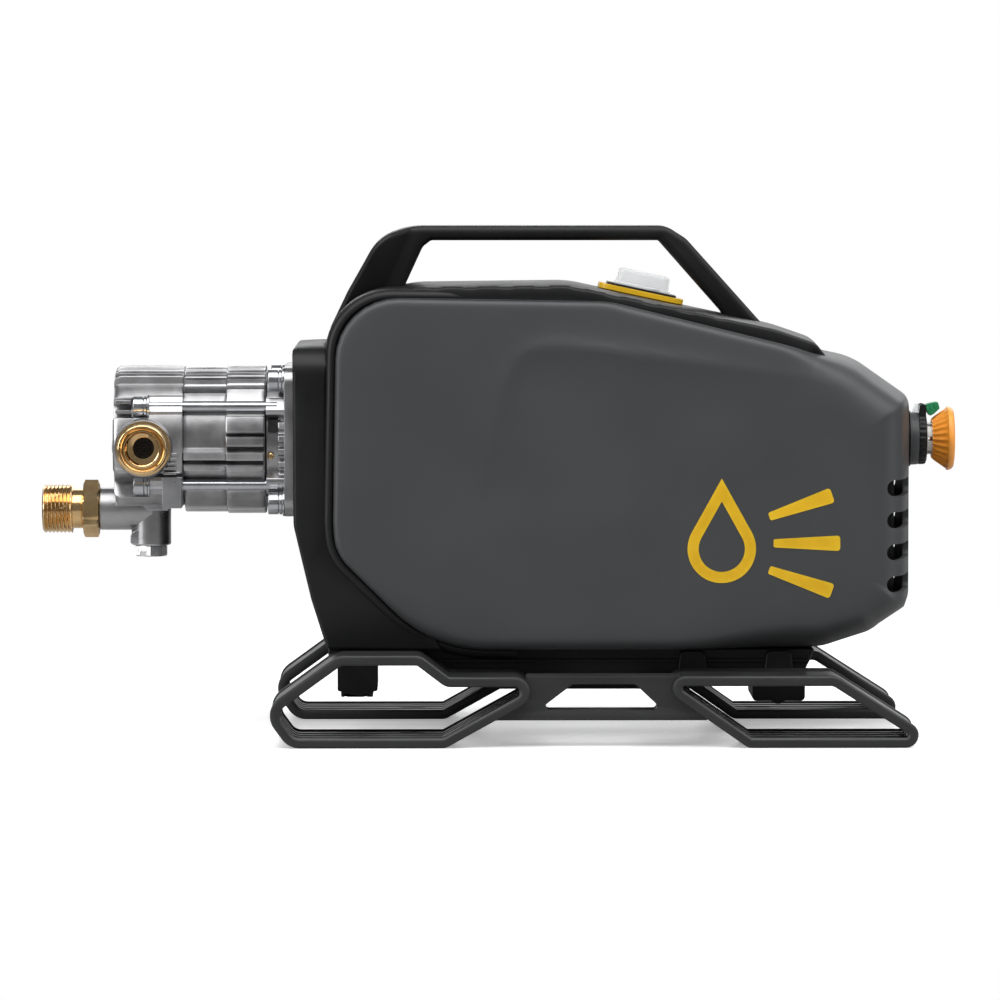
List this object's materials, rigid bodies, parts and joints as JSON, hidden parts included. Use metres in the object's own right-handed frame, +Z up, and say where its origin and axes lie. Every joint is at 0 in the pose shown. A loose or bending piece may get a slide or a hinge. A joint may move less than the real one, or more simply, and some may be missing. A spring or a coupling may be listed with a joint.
{
  "type": "pressure washer",
  "caption": "Portable electric pressure washer: bare cast piston pump with brass hose fittings, grey motor housing with carry handle, on open-loop skids.",
  "frame": {"origin": "middle of the object's bounding box at the ground, under the motor", "axes": "+X along the object from the pump to the rear inlet, +Z up, +Y to the side away from the water inlet fitting"},
  "size_m": [0.502, 0.204, 0.2785],
  "materials": {
    "shell_grey": "satin moulded plastic, graphite grey",
    "black_plastic": "matt black moulded plastic",
    "skid_plastic": "dark grey filled nylon, ribbed",
    "fastener_steel": "zinc plated, bright",
    "machined_steel": "ground",
    "stator_steel": "laminated, varnished",
    "cast_aluminium": "die cast, satin",
    "brass_fittings": "turned, bright",
    "seal_rubber": "matt",
    "copper_windings": "enamelled copper wire",
    "capacitor_can": "drawn can",
    "yellow_plastic": "yellow, semi gloss",
    "clear_boot": "clear plastic cover",
    "white_plastic": "white",
    "orange_plastic": "orange, satin",
    "green_plastic": "green"
  },
  "bodies": {
    "chassis": {"shell_left": "shell_grey", "shell_right": "shell_grey", "spine_cover": "black_plastic", "carry_handle": "black_plastic", "front_frame": "black_plastic", "front_bezel": "black_plastic", "base_tray": "black_plastic", "front_mount_block": "black_plastic", "rear_mount_bracket": "black_plastic", "fan_shroud": "black_plastic", "switch_body": "black_plastic", "inlet_collar": "black_plastic", "inlet_ring": "black_plastic", "skid_left": "skid_plastic", "skid_right": "skid_plastic", "shell_screws": "fastener_steel", "skid_screws": "fastener_steel", "handle_screws": "fastener_steel", "head_bolts": "fastener_steel", "flange_bolts": "fastener_steel", "unloader_plug": "fastener_steel", "pump_bearing": "machined_steel", "motor_bearings": "machined_steel", "piston_spring_a": "machined_steel", "piston_spring_b": "machined_steel", "piston_spring_c": "machined_steel", "unloader_spring": "machined_steel", "stator_core": "stator_steel", "pump_head": "cast_aluminium", "pump_body": "cast_aluminium", "flange_adapter": "cast_aluminium", "unloader_block": "cast_aluminium", "front_end_bell": "cast_aluminium", "rear_end_bell": "cast_aluminium", "inlet_fitting": "brass_fittings", "outlet_fitting": "brass_fittings", "piston_seals": "seal_rubber", "stator_windings": "copper_windings", "capacitor": "capacitor_can", "switch_bezel": "yellow_plastic", "switch_boot": "clear_boot", "contact_carrier": "white_plastic"},
    "rotor": {"rotor_core": "machined_steel", "shaft_coupling": "machined_steel", "pump_shaft": "machined_steel", "swash_plate": "machined_steel", "thrust_race": "machined_steel", "cooling_fan": "black_plastic"},
    "piston_a_body": {"piston_a": "machined_steel"},
    "piston_b_body": {"piston_b": "machined_steel"},
    "piston_c_body": {"piston_c": "machined_steel"},
    "poppet_a_body": {"valve_poppet_a": "brass_fittings"},
    "poppet_b_body": {"valve_poppet_b": "brass_fittings"},
    "poppet_c_body": {"valve_poppet_c": "brass_fittings"},
    "unloader_body": {"unloader_spool": "brass_fittings"},
    "rocker_body": {"switch_rocker": "black_plastic"},
    "shroud_body": {"connector_shroud": "orange_plastic"},
    "latch_body": {"release_latch": "green_plastic"}
  },
  "joints": [
    {"name": "rotor_spin", "type": "hinge", "parent": "chassis", "child": "rotor", "pos_m": [0, 0, 0.161], "axis": [1, 0, 0], "continuous": true},
    {"name": "piston_a_stroke", "type": "slide", "parent": "chassis", "child": "piston_a_body", "axis": [-1, 0, 0], "range_m": [0, 0.007], "stiffness_N_per_m": 1500, "springref_m": -0.002, "deforming": ["piston_spring_a"]},
    {"name": "piston_b_stroke", "type": "slide", "parent": "chassis", "child": "piston_b_body", "axis": [-1, 0, 0], "range_m": [0, 0.007], "stiffness_N_per_m": 1500, "springref_m": -0.002, "deforming": ["piston_spring_b"]},
    {"name": "piston_c_stroke", "type": "slide", "parent": "chassis", "child": "piston_c_body", "axis": [-1, 0, 0], "range_m": [0, 0.007], "stiffness_N_per_m": 1500, "springref_m": -0.002, "deforming": ["piston_spring_c"]},
    {"name": "poppet_a_lift", "type": "slide", "parent": "chassis", "child": "poppet_a_body", "axis": [-1, 0, 0], "range_m": [0, 0.0012], "stiffness_N_per_m": 400, "springref_m": -0.001},
    {"name": "poppet_b_lift", "type": "slide", "parent": "chassis", "child": "poppet_b_body", "axis": [-1, 0, 0], "range_m": [0, 0.0012], "stiffness_N_per_m": 400, "springref_m": -0.001},
    {"name": "poppet_c_lift", "type": "slide", "parent": "chassis", "child": "poppet_c_body", "axis": [-1, 0, 0], "range_m": [0, 0.0012], "stiffness_N_per_m": 400, "springref_m": -0.001},
    {"name": "unloader_travel", "type": "slide", "parent": "chassis", "child": "unloader_body", "axis": [0, 0, -1], "range_m": [0, 0.003], "stiffness_N_per_m": 1500, "springref_m": -0.001, "deforming": ["unloader_spring"]},
    {"name": "rocker_tip", "type": "hinge", "parent": "chassis", "child": "rocker_body", "pos_m": [0.07779, 0, 0.23899], "axis": [0, 1, 0], "range_deg": [0, 20]},
    {"name": "shroud_twist", "type": "hinge", "parent": "chassis", "child": "shroud_body", "pos_m": [0.245, 0, 0.161], "axis": [1, 0, 0], "range_deg": [0, 60]},
    {"name": "latch_press", "type": "hinge", "parent": "chassis", "child": "latch_body", "pos_m": [0.2342, 0, 0.1784], "axis": [0, 1, 0], "range_deg": [0, 12], "stiffness_Nm_per_rad": 0.05, "springref_deg": -8.59}
  ]
}
